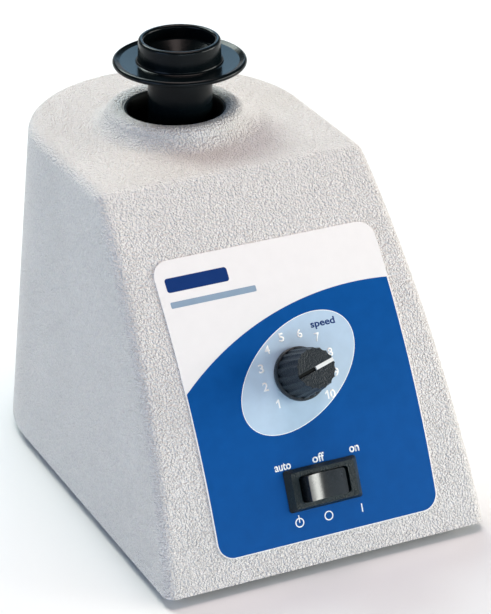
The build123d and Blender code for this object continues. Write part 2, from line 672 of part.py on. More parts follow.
with BuildPart() as switch_body:
    with BuildSketch(switch_plane.offset(PANEL_SKIN + 0.3)):
        RectangleRounded(*BEZEL_BASE, 1.2)
    with BuildSketch(switch_plane.offset(PANEL_SKIN + 0.3 + BEZEL_HEIGHT)):
        RectangleRounded(*BEZEL_TOP, 1.0)
    loft()
    with BuildSketch(switch_plane.offset(-21)):
        Rectangle(SWITCH_CUT[0] - 0.4, SWITCH_CUT[1] - 0.4)
    extrude(amount=21 + PANEL_SKIN + 0.4)
    with BuildSketch(switch_plane.offset(-19.5)):
        Rectangle(24.4, 10.8)
    extrude(amount=19.5 + PANEL_SKIN)
    with BuildSketch(switch_plane.offset(-19.5)):
        Rectangle(24.4, 10.8)
    extrude(amount=19.5 + PANEL_SKIN, mode=Mode.SUBTRACT)
    with BuildSketch(switch_plane.offset(-1)):
        RectangleRounded(*WINDOW, 1.4)
    extrude(amount=10, mode=Mode.SUBTRACT)
    pivot = switch_plane.offset(ROCKER_PIVOT).origin
    pivot_plane = Plane(origin=pivot, x_dir=switch_plane.x_dir, z_dir=switch_plane.y_dir)
    with BuildSketch(pivot_plane):
        Circle(1.56)
    extrude(amount=10, both=True, mode=Mode.SUBTRACT)
finish(switch_body, "switch_body")

with BuildPart() as rocker:
    # side view of the rocker: slanted ends with round corners and a hollow thumb face
    rocker_side = Plane(origin=switch_plane.origin, x_dir=switch_plane.x_dir, z_dir=-switch_plane.y_dir)
    with BuildSketch(rocker_side):
        with BuildLine():
            right_end = [(8, 6.4), (10, 0.4), (10, -1.5), (6, -7)]
            left_end = [(-x, y) for x, y in reversed(right_end)]
            Polyline(*right_end, *left_end)
            ThreePointArc((-8, 6.4), (0, 4.2), (8, 6.4))
        make_face()
    extrude(amount=5.1, both=True)
    straight_edges = rocker.edges().filter_by(GeomType.LINE)
    fillet(straight_edges.filter_by(lambda e: abs(e.length - hypot(2, 6)) < 0.01), 0.9)
    with BuildSketch(pivot_plane):
        Circle(1.5)
    extrude(amount=6.1, both=True)
finish(rocker, "rocker")

with BuildPart() as switch_terminals:
    with BuildSketch(switch_plane.offset(-30)):
        with Locations((-8, 0), (0, 0), (8, 0)):
            Rectangle(0.8, 4.8)
    extrude(amount=9)
finish(switch_terminals, "switch_terminals")

# ---------------------------------------------------------------- microswitch

MICRO_LOW = 30.0
MICRO_HIGH = 40.0
PLUNGER_Y = -6.0

with BuildPart() as microswitch:
    with BuildSketch(Plane.XY.offset(MICRO_LOW)):
        with Locations((0, PLUNGER_Y)):
            Rectangle(20, 6.4)
    extrude(amount=MICRO_HIGH - MICRO_LOW)
    ring(0, 1.6, MICRO_HIGH - 7, MICRO_HIGH, y=PLUNGER_Y, mode=Mode.SUBTRACT)
    with BuildSketch(Plane.XZ.offset(-PLUNGER_Y)):
        with Locations((-6, MICRO_LOW + 3), (6, MICRO_LOW + 3)):
            Circle(1.2)
    extrude(amount=10, both=True, mode=Mode.SUBTRACT)
    with BuildSketch(Plane.XY.offset(MICRO_LOW)):
        with Locations((-8, PLUNGER_Y), (0, PLUNGER_Y), (8, PLUNGER_Y)):
            Rectangle(0.8, 3.2)
    extrude(amount=-6)
finish(microswitch, "microswitch")

with BuildPart() as microswitch_plunger:
    turn([(0, 36.4), (1.54, 36.4), (1.54, 42.2), (0.9, 42.9), (0, 42.9)], y=PLUNGER_Y)
finish(microswitch_plunger, "microswitch_plunger")

bracket_y = PLUNGER_Y - 3.2
with BuildPart() as microswitch_bracket:
    with BuildSketch(Plane.XZ.offset(-bracket_y)):
        with Locations((0, (PLATE_TOP + MICRO_HIGH) / 2)):
            Rectangle(22, MICRO_HIGH - PLATE_TOP)
        with Locations((-6, MICRO_LOW + 3), (6, MICRO_LOW + 3)):
            Circle(1.2, mode=Mode.SUBTRACT)
    extrude(amount=1.5)
    with BuildSketch(Plane.XY.offset(PLATE_TOP)):
        with Locations((0, bracket_y - 7)):
            Rectangle(22, 14)
        with Locations((-6, bracket_y - 8), (6, bracket_y - 8)):
            Circle(1.5, mode=Mode.SUBTRACT)
    extrude(amount=1.5)
finish(microswitch_bracket, "microswitch_bracket")

with BuildPart() as bracket_screws:
    for x in (-6, 6):
        ring(0, 2.8, PLATE_TOP + 1.5, PLATE_TOP + 3.3, x, bracket_y - 8)
        ring(0, 1.5, PLATE_TOP, PLATE_TOP + 1.5, x, bracket_y - 8)
    with BuildSketch(Plane.XZ.offset(-bracket_y + 1.5)):
        with Locations((-6, MICRO_LOW + 3), (6, MICRO_LOW + 3)):
            Circle(2.2)
    extrude(amount=1.6)
    with BuildSketch(Plane.XZ.offset(-bracket_y + 1.5)):
        with Locations((-6, MICRO_LOW + 3), (6, MICRO_LOW + 3)):
            Circle(1.2)
    extrude(amount=-7.9)
finish(bracket_screws, "bracket_screws")

# ---------------------------------------------------------------- control board

BOARD_LOW = PLATE_TOP + 9
BOARD_TOP = BOARD_LOW + 1.6
BOARD_Y = -44.0

with BuildPart() as board_standoffs:
    for x, y in STANDOFF_SPOTS:
        ring(1.5, 3, PLATE_TOP, BOARD_LOW, x, y)
finish(board_standoffs, "board_standoffs")

with BuildPart() as control_board:
    with BuildSketch(Plane.XY.offset(BOARD_LOW)):
        with Locations((0, BOARD_Y)):
            Rectangle(90, 34)
        with Locations(*STANDOFF_SPOTS):
            Circle(1.5, mode=Mode.SUBTRACT)
    extrude(amount=BOARD_TOP - BOARD_LOW)
finish(control_board, "control_board")

with BuildPart() as board_screws:
    for x, y in STANDOFF_SPOTS:
        ring(0, 2.8, BOARD_TOP, BOARD_TOP + 1.8, x, y)
        ring(0, 1.5, BOARD_TOP - 7, BOARD_TOP, x, y)
finish(board_screws, "board_screws")

with BuildPart() as triac_heatsink:
    with BuildSketch(Plane.XY.offset(BOARD_TOP)):
        with Locations((-20, BOARD_Y)):
            Rectangle(16, 3)
            with GridLocations(4, 0, 5, 1):
                Rectangle(1.2, 15)
    extrude(amount=22)
finish(triac_heatsink, "triac_heatsink")

with BuildPart() as film_capacitor:
    with BuildSketch(Plane.XY.offset(BOARD_TOP)):
        with Locations((4, BOARD_Y)):
            Rectangle(9, 18)
    extrude(amount=14)
    fillet(film_capacitor.edges().filter_by(Axis.Z), 1)
finish(film_capacitor, "film_capacitor")

with BuildPart() as terminal_block:
    with BuildSketch(Plane.XY.offset(BOARD_TOP)):
        with Locations((26, BOARD_Y)):
            Rectangle(20, 10)
    extrude(amount=10)
    with BuildSketch(Plane.XY.offset(BOARD_TOP + 10)):
        with Locations((26, BOARD_Y)):
            with GridLocations(5, 0, 4, 1):
                Circle(1.6)
    extrude(amount=-4, mode=Mode.SUBTRACT)
finish(terminal_block, "terminal_block")

# ---------------------------------------------------------------- power inlet

INLET_BACK = INLET_FLAT_Y - 22
INLET_FACE = INLET_FLAT_Y + 2.5
SOCKET_Z = 31.0
DRAWER_Z = 49.5
DRAWER_DEPTH = 19.0
socket_floor = INLET_FACE - 16
PIN_SPOTS = [(-7, SOCKET_Z - 2), (7, SOCKET_Z - 2), (0, SOCKET_Z + 2)]


def inlet_box(width, height, z, start, stop, mode=Mode.ADD, corner=0.0):
    """Box along Y between two Y places, centred on x = 0 at height z."""
    with BuildSketch(Plane.XZ.offset(-start)) as section:
        with Locations((0, z)):
            if corner:
                RectangleRounded(width, height, corner)
            else:
                Rectangle(width, height)
    extrude(section.sketch, amount=start - stop, mode=mode)


with BuildPart() as power_inlet:
    inlet_box(32, INLET_HIGH - INLET_LOW, INLET_MIDDLE, INLET_FLAT_Y, INLET_FACE, corner=2)
    inlet_box(28, INLET_HIGH - INLET_LOW - 4, INLET_MIDDLE, INLET_BACK, INLET_FLAT_Y)
    # earthed-plug socket, its two upper corners cut off as on every such inlet
    with BuildSketch(Plane.XZ.offset(-socket_floor)):
        with BuildLine():
            Polyline(
                (-12.2, SOCKET_Z - 8.2), (12.2, SOCKET_Z - 8.2), (12.2, SOCKET_Z + 3.4),
                (7.6, SOCKET_Z + 8.2), (-7.6, SOCKET_Z + 8.2), (-12.2, SOCKET_Z + 3.4), close=True,
            )
        make_face()
    extrude(amount=-17, mode=Mode.SUBTRACT)
    inlet_box(22.4, 9.4, DRAWER_Z, INLET_FACE - DRAWER_DEPTH - 1, INLET_FACE + 1, mode=Mode.SUBTRACT)
    with BuildSketch(Plane.XZ.offset(-socket_floor)):
        with Locations(*PIN_SPOTS):
            Rectangle(2, 4)
    extrude(amount=socket_floor - INLET_BACK, mode=Mode.SUBTRACT)
finish(power_inlet, "power_inlet")

with BuildPart() as inlet_pins:
    with BuildSketch(Plane.XZ.offset(-(INLET_BACK - 8))):
        with Locations(*PIN_SPOTS):
            Rectangle(2, 4)
    extrude(amount=INLET_BACK - 8 - (socket_floor + 13))
finish(inlet_pins, "inlet_pins")

with BuildPart() as fuse_drawer:
    inlet_box(22, 9, DRAWER_Z, INLET_FACE - DRAWER_DEPTH, INLET_FACE - 0.4)
    inlet_box(23.6, 10.4, DRAWER_Z, INLET_FACE + 0.1, INLET_FACE + 1.8, corner=1)
    inlet_box(12, 5, DRAWER_Z, INLET_FACE - 0.5, INLET_FACE + 0.2)
    # two fuse troughs, open at the top
    for y in (INLET_FACE - 14, INLET_FACE - 6.5):
        with BuildSketch(Plane.XY.offset(DRAWER_Z + 4.5)):
            with Locations((0, y)):
                Rectangle(20.6, 5.6)
        extrude(amount=-7, mode=Mode.SUBTRACT)
finish(fuse_drawer, "fuse_drawer")

with BuildPart() as fuses:
    for y in (INLET_FACE - 14, INLET_FACE - 6.5):
        with BuildSketch(Plane(origin=(-10.1, y, DRAWER_Z + 0.2), z_dir=(1, 0, 0))):
            Circle(2.5)
        extrude(amount=20.2)
finish(fuses, "fuses")

# ---------------------------------------------------------------- internal leads

LEAD_R = 1.1


def lead(points, bend):
    """Round lead along straight runs joined by tangent arcs."""
    with BuildLine() as route:
        FilletPolyline(*points, radius=bend)
    path = route.wires()[0]
    with BuildSketch(Plane(origin=path @ 0, z_dir=path % 0)) as section:
        Circle(LEAD_R)
    sweep(section.sketch, path=path)


tail_y = INLET_BACK - 8
with BuildPart() as mains_leads:
    for pin_x, run_x, block_x in ((-7, 16, 18.5), (7, 21, 28.5)):
        from_pin = [(pin_x, tail_y, SOCKET_Z - 2), (pin_x, tail_y - 10, SOCKET_Z - 2)]
        along_floor = [(run_x, tail_y - 28, 18), (run_x, 4, 18)]
        to_block = [(block_x, -20, 26), (block_x, BOARD_Y + 5, 26)]
        lead(from_pin + along_floor + to_block, 6)
finish(mains_leads, "mains_leads")
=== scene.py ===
from math import asin, cos, hypot, pi, radians, sin, sqrt

import bmesh
import bpy
from mathutils import Matrix, Vector


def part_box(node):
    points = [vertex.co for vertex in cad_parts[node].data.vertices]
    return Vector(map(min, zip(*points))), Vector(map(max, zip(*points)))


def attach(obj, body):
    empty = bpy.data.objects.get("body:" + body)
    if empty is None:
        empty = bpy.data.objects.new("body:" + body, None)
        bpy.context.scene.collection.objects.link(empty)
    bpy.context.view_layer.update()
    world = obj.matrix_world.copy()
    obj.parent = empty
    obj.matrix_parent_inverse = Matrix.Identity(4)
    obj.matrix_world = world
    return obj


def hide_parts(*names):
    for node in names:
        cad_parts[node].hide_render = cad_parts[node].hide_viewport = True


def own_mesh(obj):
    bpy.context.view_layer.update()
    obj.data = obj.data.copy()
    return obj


# Looks of a bench vortex mixer: wrinkle-painted cast housing, printed front overlay,
# moulded knob, rocker and cup head. Lengths are in metres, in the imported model's frame.

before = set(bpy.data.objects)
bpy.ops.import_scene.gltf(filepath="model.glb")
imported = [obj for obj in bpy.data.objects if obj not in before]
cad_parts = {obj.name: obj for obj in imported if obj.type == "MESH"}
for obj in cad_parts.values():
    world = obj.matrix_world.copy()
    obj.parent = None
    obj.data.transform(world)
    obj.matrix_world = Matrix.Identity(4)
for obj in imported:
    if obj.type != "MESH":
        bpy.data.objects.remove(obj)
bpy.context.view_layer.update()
MM = 0.001

# ---------------------------------------------------------------- the front surface

housing_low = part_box("housing")[0]
BODY_HEIGHT = 132.5 * MM  # bottom edge to flat top
FRONT_RUN = 88.4 * MM  # how far the front leans back over its height
FRONT_BULGE = 9.8 * MM  # bow of the front over its chord
SKIN = 0.5 * MM  # thickness of the overlay
PANEL_X = 1.8 * MM  # middle of the overlay, the knob and the switch
KNOB_HEIGHT = 66.6 * MM  # knob centre above the housing's bottom edge
SWITCH_HEIGHT = 28.2 * MM
KNOB_POINTER = radians(15)  # the pointer's angle above level, at rest
OVERLAY_LOW = 9.4 * MM  # the overlay's lower edge above the housing's bottom edge
OVERLAY_HALF = 48.1 * MM  # half of its width
OVERLAY_CORNER = 7 * MM

chord = hypot(FRONT_RUN, BODY_HEIGHT)
FRONT_R = ((chord / 2) ** 2 + FRONT_BULGE**2) / (2 * FRONT_BULGE)
FRONT_CY = housing_low.y + FRONT_RUN / 2 + (FRONT_R - FRONT_BULGE) * BODY_HEIGHT / chord
FRONT_CZ = housing_low.z + BODY_HEIGHT / 2 - (FRONT_R - FRONT_BULGE) * FRONT_RUN / chord


def lean_at(height):
    """Lean of the front's normal above level, at a height over the bottom edge."""
    return asin((housing_low.z + height - FRONT_CZ) / FRONT_R)


KNOB_LEAN = lean_at(KNOB_HEIGHT)


def on_panel(u, v, lift=0.0):
    """Point on the overlay: u across and v up the slope from the knob's centre."""
    lean = KNOB_LEAN + v / (FRONT_R + SKIN)
    radius = FRONT_R + SKIN + lift
    return Vector((PANEL_X + u, FRONT_CY - radius * cos(lean), FRONT_CZ + radius * sin(lean)))


def up_slope(height):
    """v of a height over the bottom edge."""
    return (lean_at(height) - KNOB_LEAN) * (FRONT_R + SKIN)


# ---------------------------------------------------------------- materials


def shader(name, colour, roughness, metallic=0.0, coat=0.0, coat_roughness=0.1, specular=0.5):
    """New material with a Principled shader; returns it with its node tree and shader node."""
    made = bpy.data.materials.new(name)
    made.use_nodes = True
    tree = made.node_tree
    surface = tree.nodes["Principled BSDF"]
    surface.inputs["Base Color"].default_value = (*colour, 1)
    surface.inputs["Roughness"].default_value = roughness
    surface.inputs["Metallic"].default_value = metallic
    surface.inputs["Coat Weight"].default_value = coat
    surface.inputs["Coat Roughness"].default_value = coat_roughness
    surface.inputs["Specular IOR Level"].default_value = specular
    return made, tree, surface


def noise(tree, scale, detail=2.0, roughness=0.5, stretch=(1, 1, 1)):
    """Noise texture in object coordinates; scale is in waves per metre."""
    place = tree.nodes.new("ShaderNodeTexCoord")
    mapping = tree.nodes.new("ShaderNodeMapping")
    mapping.inputs["Scale"].default_value = stretch
    made = tree.nodes.new("ShaderNodeTexNoise")
    made.inputs["Scale"].default_value = scale
    made.inputs["Detail"].default_value = detail
    made.inputs["Roughness"].default_value = roughness
    tree.links.new(place.outputs["Object"], mapping.inputs["Vector"])
    tree.links.new(mapping.outputs["Vector"], made.inputs["Vector"])
    return made.outputs["Fac"]


def ramp(tree, value, stops):
    """Colour ramp on a value; stops are (position, colour)."""
    made = tree.nodes.new("ShaderNodeValToRGB")
    made.color_ramp.elements[0].position = stops[0][0]
    made.color_ramp.elements[0].color = (*stops[0][1], 1)
    made.color_ramp.elements[1].position = stops[-1][0]
    made.color_ramp.elements[1].color = (*stops[-1][1], 1)
    for position, colour in stops[1:-1]:
        element = made.color_ramp.elements.new(position)
        element.color = (*colour, 1)
    tree.links.new(value, made.inputs["Fac"])
    return made.outputs["Color"]


def spread(tree, value, low, high):
    """Value from 0..1 spread over low..high."""
    made = tree.nodes.new("ShaderNodeMapRange")
    made.inputs["To Min"].default_value = low
    made.inputs["To Max"].default_value = high
    tree.links.new(value, made.inputs["Value"])
    return made.outputs["Result"]


def mottled(tree, surface, value, colour, dark, light):
    """Base colour that drifts between a darker and a lighter shade of one colour."""
    shades = [(0.3, tinted(colour, dark)), (0.7, tinted(colour, light))]
    tree.links.new(ramp(tree, value, shades), surface.inputs["Base Color"])


def uneven(tree, surface, value, low, high):
    """Roughness spread over low..high."""
    tree.links.new(spread(tree, value, low, high), surface.inputs["Roughness"])


def bump(tree, surface, value, height, strength=1.0, under=None):
    """Bump of a height in metres, on the shader's normal."""
    made = tree.nodes.new("ShaderNodeBump")
    made.inputs["Strength"].default_value = strength
    made.inputs["Distance"].default_value = height
    tree.links.new(value, made.inputs["Height"])
    if under is not None:
        tree.links.new(under, made.inputs["Normal"])
    tree.links.new(made.outputs["Normal"], surface.inputs["Normal"])
    return made.outputs["Normal"]


def tinted(colour, factor):
    """A colour made lighter or darker by a factor."""
    return tuple(min(1.0, part * factor) for part in colour)


def moulded(name, colour, roughness, grain, height, vary=0.12, **finish):
    """Plastic or rubber with a fine moulded grain and slightly uneven colour."""
    made, tree, surface = shader(name, colour, roughness, **finish)
    fine = noise(tree, grain, 3)
    patches = noise(tree, 60, 2)
    mottled(tree, surface, patches, colour, 1 - vary, 1 + vary)
    uneven(tree, surface, fine, roughness - 0.06, roughness + 0.08)
    bump(tree, surface, fine, height)
    return made


def metal(name, colour, roughness, stretch=(1, 1, 1), grain=900, height=0.00001):
    """Metal with fine brushing or casting grain along the stretched directions."""
    made, tree, surface = shader(name, colour, roughness, metallic=1.0)
    fine = noise(tree, grain, 3, 0.6, stretch)
    patches = noise(tree, 45, 2)
    mottled(tree, surface, patches, colour, 0.88, 1.08)
    uneven(tree, surface, fine, roughness - 0.1, roughness + 0.12)
    bump(tree, surface, fine, height)
    return made


PAINT_COLOUR = (0.84, 0.80, 0.765)
PAINT_BEADS = 1250  # beads per metre
BEAD_HEIGHT = 0.0012
PAINT_GRAIN_HEIGHT = 0.00012  # finer grain under the beads


def wrinkle_paint():
    """Warm light grey wrinkle paint: small irregular beads over a smooth casting, with painted
    shade darkening the pits between them.
    """
    paint = PAINT_COLOUR
    made, tree, surface = shader("wrinkle_paint", paint, 0.52, specular=0.45)
    beads = tree.nodes.new("ShaderNodeTexVoronoi")
    beads.feature = "SMOOTH_F1"
    beads.inputs["Scale"].default_value = PAINT_BEADS
    beads.inputs["Smoothness"].default_value = 0.6
    place = tree.nodes.new("ShaderNodeTexCoord")
    tree.links.new(place.outputs["Object"], beads.inputs["Vector"])
    fine = noise(tree, 1500, 3, 0.6)
    patches = noise(tree, 30, 3)
    shades = [(0.3, tinted(paint, 0.965)), (0.7, tinted(paint, 1.03))]
    # base colour darkened between the beads: painted shade in the pits
    pit_shade = ramp(tree, beads.outputs["Distance"], [(0.1, (1, 1, 1)), (0.7, (0.85, 0.85, 0.865))])
    mix = tree.nodes.new("ShaderNodeMix")
    mix.data_type = "RGBA"
    mix.blend_type = "MULTIPLY"
    mix.inputs["Factor"].default_value = 1.0
    tree.links.new(ramp(tree, patches, shades), mix.inputs["A"])
    tree.links.new(pit_shade, mix.inputs["B"])
    tree.links.new(mix.outputs["Result"], surface.inputs["Base Color"])
    first = bump(tree, surface, fine, PAINT_GRAIN_HEIGHT, 0.5)
    turned = tree.nodes.new("ShaderNodeMath")
    turned.operation = "SUBTRACT"
    turned.inputs[0].default_value = 1.0
    tree.links.new(beads.outputs["Distance"], turned.inputs[1])
    bump(tree, surface, turned.outputs["Value"], BEAD_HEIGHT, 1.0, first)
    return made


def printed(name, colour, roughness=0.45, vary=0.03, specular=0.1):
    """Matt ink with a faint mottle."""
    made, tree, surface = shader(name, colour, roughness, specular=specular)
    mottle = noise(tree, 220, 3)
    mottled(tree, surface, mottle, colour, 1 - vary, 1 + vary)
    uneven(tree, surface, mottle, roughness - 0.04, roughness + 0.06)
    bump(tree, surface, noise(tree, 2600, 2), 0.00001, 0.4)
    return made


def banded(name, colour, dark, waves, roughness, metallic):
    """Thin bands stacked along z, for stacked sheets or wound wire."""
    made, tree, surface = shader(name, colour, roughness, metallic=metallic)
    place = tree.nodes.new("ShaderNodeTexCoord")
    wave = tree.nodes.new("ShaderNodeTexWave")
    wave.bands_direction = "Z"
    wave.inputs["Scale"].default_value = waves
    wave.inputs["Distortion"].default_value = 0.4
    tree.links.new(place.outputs["Object"], wave.inputs["Vector"])
    bands = ramp(tree, wave.outputs["Fac"], [(0.2, dark), (0.7, colour)])
    tree.links.new(bands, surface.inputs["Base Color"])
    bump(tree, surface, wave.outputs["Fac"], 0.0002)
    return made


def clear_glass():
    """Glass tube of the fuses."""
    made, tree, surface = shader("fuse_glass", (0.93, 0.95, 0.95), 0.05)
    surface.inputs["Transmission Weight"].default_value = 0.85
    surface.inputs["IOR"].default_value = 1.5
    uneven(tree, surface, noise(tree, 80), 0.03, 0.09)
    return made


PAINT = wrinkle_paint()
OVERLAY_WHITE = printed("overlay_white", (0.87, 0.835, 0.815), vary=0.01, specular=0.25)
INK_BLUE = printed("ink_blue", (0.002, 0.078, 0.295), 0.42, 0.05, 0.08)
INK_PALE = printed("ink_pale_blue", (0.48, 0.61, 0.74))
INK_NAVY = printed("ink_navy", (0.006, 0.035, 0.16))
INK_GREY = printed("ink_grey_blue", (0.27, 0.36, 0.46))
INK_WHITE = printed("ink_white", (0.95, 0.95, 0.94))
CUP_RUBBER = moulded("cup_rubber", (0.002, 0.004, 0.005), 0.19, 900, 0.00001, specular=0.15)
FOOT_RUBBER = moulded("foot_rubber", (0.022, 0.022, 0.022), 0.7, 1200, 0.00005)
# black of the sleeve in the cup head's hole and of the strip in the knob's groove: painted
# shade, not a real trim
PAINTED_SHADE_BLACK = moulded("painted_shade_black", (0.003, 0.004, 0.004), 0.6, 1200, 0.00002, specular=0.2)
KNOB_BLACK = moulded(
    "knob_black", (0.004, 0.009, 0.014), 0.32, 1700, 0.0003, vary=0.2, specular=0.42
)
BEZEL_BLACK = moulded(
    "bezel_black", (0.003, 0.012, 0.016), 0.3, 1600, 0.0006, vary=0.25, specular=0.32
)
ROCKER_BLACK = moulded(
    "rocker_black", (0.005, 0.007, 0.009), 0.24, 700, 0.000006, coat=1.0, coat_roughness=0.22
)
PLASTIC_BLACK = moulded("plastic_black", (0.025, 0.025, 0.027), 0.45, 1800, 0.00004)
PLASTIC_WHITE = moulded("plastic_white", (0.80, 0.80, 0.78), 0.35, 1200, 0.00002, vary=0.04)
FAN_NYLON = moulded("fan_nylon", (0.62, 0.60, 0.54), 0.5, 900, 0.00003, vary=0.06)
BOARD_GREEN = moulded("board_green", (0.03, 0.16, 0.07), 0.35, 700, 0.00002)
COMPONENT_YELLOW = moulded("component_yellow", (0.42, 0.27, 0.05), 0.4, 800, 0.00002)
LEAD_BROWN = moulded("lead_brown", (0.13, 0.06, 0.03), 0.45, 1500, 0.00002)
STEEL_PLATED = metal("steel_plated", (0.60, 0.61, 0.62), 0.32, grain=500)
STEEL_SCREW = metal("steel_screw", (0.50, 0.50, 0.51), 0.3, (1, 1, 6), 900)
STEEL_SPRING = metal("steel_spring", (0.38, 0.39, 0.41), 0.28, (1, 1, 4), 1200)
ALUMINIUM_CAST = metal("aluminium_cast", (0.62, 0.63, 0.64), 0.48, grain=1400, height=0.00006)
ALUMINIUM_TURNED = metal("aluminium_turned", (0.74, 0.75, 0.76), 0.24, (1, 1, 20), 400)
BRONZE = metal("bronze", (0.55, 0.36, 0.15), 0.38, grain=1500, height=0.00003)
BRASS = metal("brass", (0.72, 0.58, 0.28), 0.25, (1, 1, 8), 700)
LAMINATIONS = banded("laminations", (0.30, 0.31, 0.33), (0.08, 0.08, 0.09), 260, 0.42, 0.9)
WINDINGS = banded("windings", (0.45, 0.16, 0.05), (0.15, 0.04, 0.01), 300, 0.3, 0.7)
GLASS = clear_glass()

NODE_FINISH = {
    "housing": PAINT,
    "control_overlay": OVERLAY_WHITE,
    "cup_head": CUP_RUBBER,
    "speed_knob": KNOB_BLACK,
    "knob_pointer": PLASTIC_WHITE,
    "switch_body": BEZEL_BLACK,
    "rocker": ROCKER_BLACK,
    "base_plate": STEEL_PLATED,
    "guide_posts": STEEL_PLATED,
    "carriage_plate": STEEL_PLATED,
    "motor_bearings": STEEL_PLATED,
    "motor_shaft": STEEL_PLATED,
    "eccentric": STEEL_PLATED,
    "crank_pin": STEEL_PLATED,
    "head_bearings": STEEL_PLATED,
    "strap_post": STEEL_PLATED,
    "microswitch_bracket": STEEL_PLATED,
    "base_screws": STEEL_SCREW,
    "foot_screws": STEEL_SCREW,
    "post_nuts": STEEL_SCREW,
    "motor_bolts": STEEL_SCREW,
    "motor_nuts": STEEL_SCREW,
    "eccentric_set_screw": STEEL_SCREW,
    "head_retaining_screw": STEEL_SCREW,
    "pot_nut": STEEL_SCREW,
    "knob_set_screw": STEEL_SCREW,
    "bracket_screws": STEEL_SCREW,
    "board_screws": STEEL_SCREW,
    "return_springs": STEEL_SPRING,
    "foot_front_left": FOOT_RUBBER,
    "foot_front_right": FOOT_RUBBER,
    "foot_rear_left": FOOT_RUBBER,
    "foot_rear_right": FOOT_RUBBER,
    "anti_spin_strap": FOOT_RUBBER,
    "guide_bushes": BRONZE,
    "lower_end_bell": ALUMINIUM_CAST,
    "upper_end_bell": ALUMINIUM_CAST,
    "stator_stack": LAMINATIONS,
    "rotor_core": LAMINATIONS,
    "stator_windings": WINDINGS,
    "cooling_fan": FAN_NYLON,
    "bearing_spacer": ALUMINIUM_TURNED,
    "head_hub": ALUMINIUM_TURNED,
    "pot_shaft": ALUMINIUM_TURNED,
    "triac_heatsink": ALUMINIUM_TURNED,
    "splash_disc": PLASTIC_BLACK,
    "potentiometer": PLASTIC_BLACK,
    "pot_wiper": PLASTIC_BLACK,
    "microswitch": PLASTIC_BLACK,
    "power_inlet": PLASTIC_BLACK,
    "fuse_drawer": PLASTIC_BLACK,
    "microswitch_plunger": PLASTIC_WHITE,
    "switch_terminals": BRASS,
    "board_standoffs": BRASS,
    "inlet_pins": BRASS,
    "control_board": BOARD_GREEN,
    "film_capacitor": COMPONENT_YELLOW,
    "terminal_block": COMPONENT_YELLOW,
    "fuses": GLASS,
    "mains_leads": LEAD_BROWN,
}
for node_name, finish in NODE_FINISH.items():
    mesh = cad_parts[node_name].data
    mesh.materials.clear()
    mesh.materials.append(finish)

# ---------------------------------------------------------------- small added pieces

shaft_low, shaft_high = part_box("motor_shaft")
AXIS_Y = (shaft_low.y + shaft_high.y) / 2
LATHE_TURNS = 96


def lathe(profile, name, finish):
    """Closed ring turned from a profile of (radius, height) round the hole's axis."""
    mesh = bpy.data.meshes.new(name)
    rows = len(profile)
    points = []
    for turn in range(LATHE_TURNS):
        angle = 2 * pi * turn / LATHE_TURNS
        points += [(r * cos(angle), AXIS_Y + r * sin(angle), z) for r, z in profile]
    faces = []
    for turn in range(LATHE_TURNS):
        here = turn * rows
        there = (turn + 1) % LATHE_TURNS * rows
        for row in range(rows):
            after = (row + 1) % rows
            faces.append((here + row, there + row, there + after, here + after))
    mesh.from_pydata(points, [], faces)
    for face in mesh.polygons:
        face.use_smooth = True
    mesh.materials.append(finish)
    made = bpy.data.objects.new(name, mesh)
    bpy.context.scene.collection.objects.link(made)
    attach(made, "body")


# painted shade: a black sleeve in the cup head's hole, down its wall and a little way up its
# round rim, standing in for the dark inside of the hole:
# (radius, height) in millimetres, up the side by the wall and down the inner one
HOLE_SHADE_PROFILE = (
    (20.05, 129.0), (20.05, 140.7), (20.25, 141.85), (20.85, 142.85), (20.6, 143.1),
    (19.85, 142.0), (19.6, 140.7), (19.6, 129.0),
)
lathe([(r * MM, z * MM) for r, z in HOLE_SHADE_PROFILE], "hole_painted_shade", PAINTED_SHADE_BLACK)

STRIP_ENDS = (-8.0 * MM, -0.1 * MM)  # along the groove from the knob's axis
STRIP_HALF_WIDTH = 0.72 * MM
STRIP_HEIGHTS = (17.58 * MM, 17.66 * MM)  # over the housing's front


def groove_strip():
    """Black strip of painted shade in the half of the knob's groove that has no white insert.
    """
    up = Vector((0, cos(pi / 2 - KNOB_LEAN), sin(pi / 2 - KNOB_LEAN)))
    outward = Vector((0, -cos(KNOB_LEAN), sin(KNOB_LEAN)))
    start = Vector((PANEL_X, FRONT_CY, FRONT_CZ)) + FRONT_R * outward
    along = Vector((1, 0, 0)) * cos(KNOB_POINTER) + up * sin(KNOB_POINTER)
    beside = outward.cross(along)
    points = []
    for far in STRIP_ENDS:
        for side in (-STRIP_HALF_WIDTH, STRIP_HALF_WIDTH):
            for height in STRIP_HEIGHTS:
                points.append(start + far * along + side * beside + height * outward)
    faces = [(0, 1, 3, 2), (4, 6, 7, 5), (0, 4, 5, 1), (2, 3, 7, 6), (1, 5, 7, 3), (0, 2, 6, 4)]
    mesh = bpy.data.meshes.new("knob_groove_painted_shade")
    mesh.from_pydata(points, [], faces)
    mesh.materials.append(PAINTED_SHADE_BLACK)
    made = bpy.data.objects.new("knob_groove_painted_shade", mesh)
    bpy.context.scene.collection.objects.link(made)
    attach(made, "knob")


groove_strip()


def springs():
    """The four return springs, as a piece of their own riding on the body."""
    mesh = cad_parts["return_springs"].data.copy()
    made = bpy.data.objects.new("suspension_springs", mesh)
    bpy.context.scene.collection.objects.link(made)
    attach(made, "body")
    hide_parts("return_springs")
    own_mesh(made)


springs()

# ---------------------------------------------------------------- printed artwork

SHEET = 0.03 * MM  # thickness of one printed layer
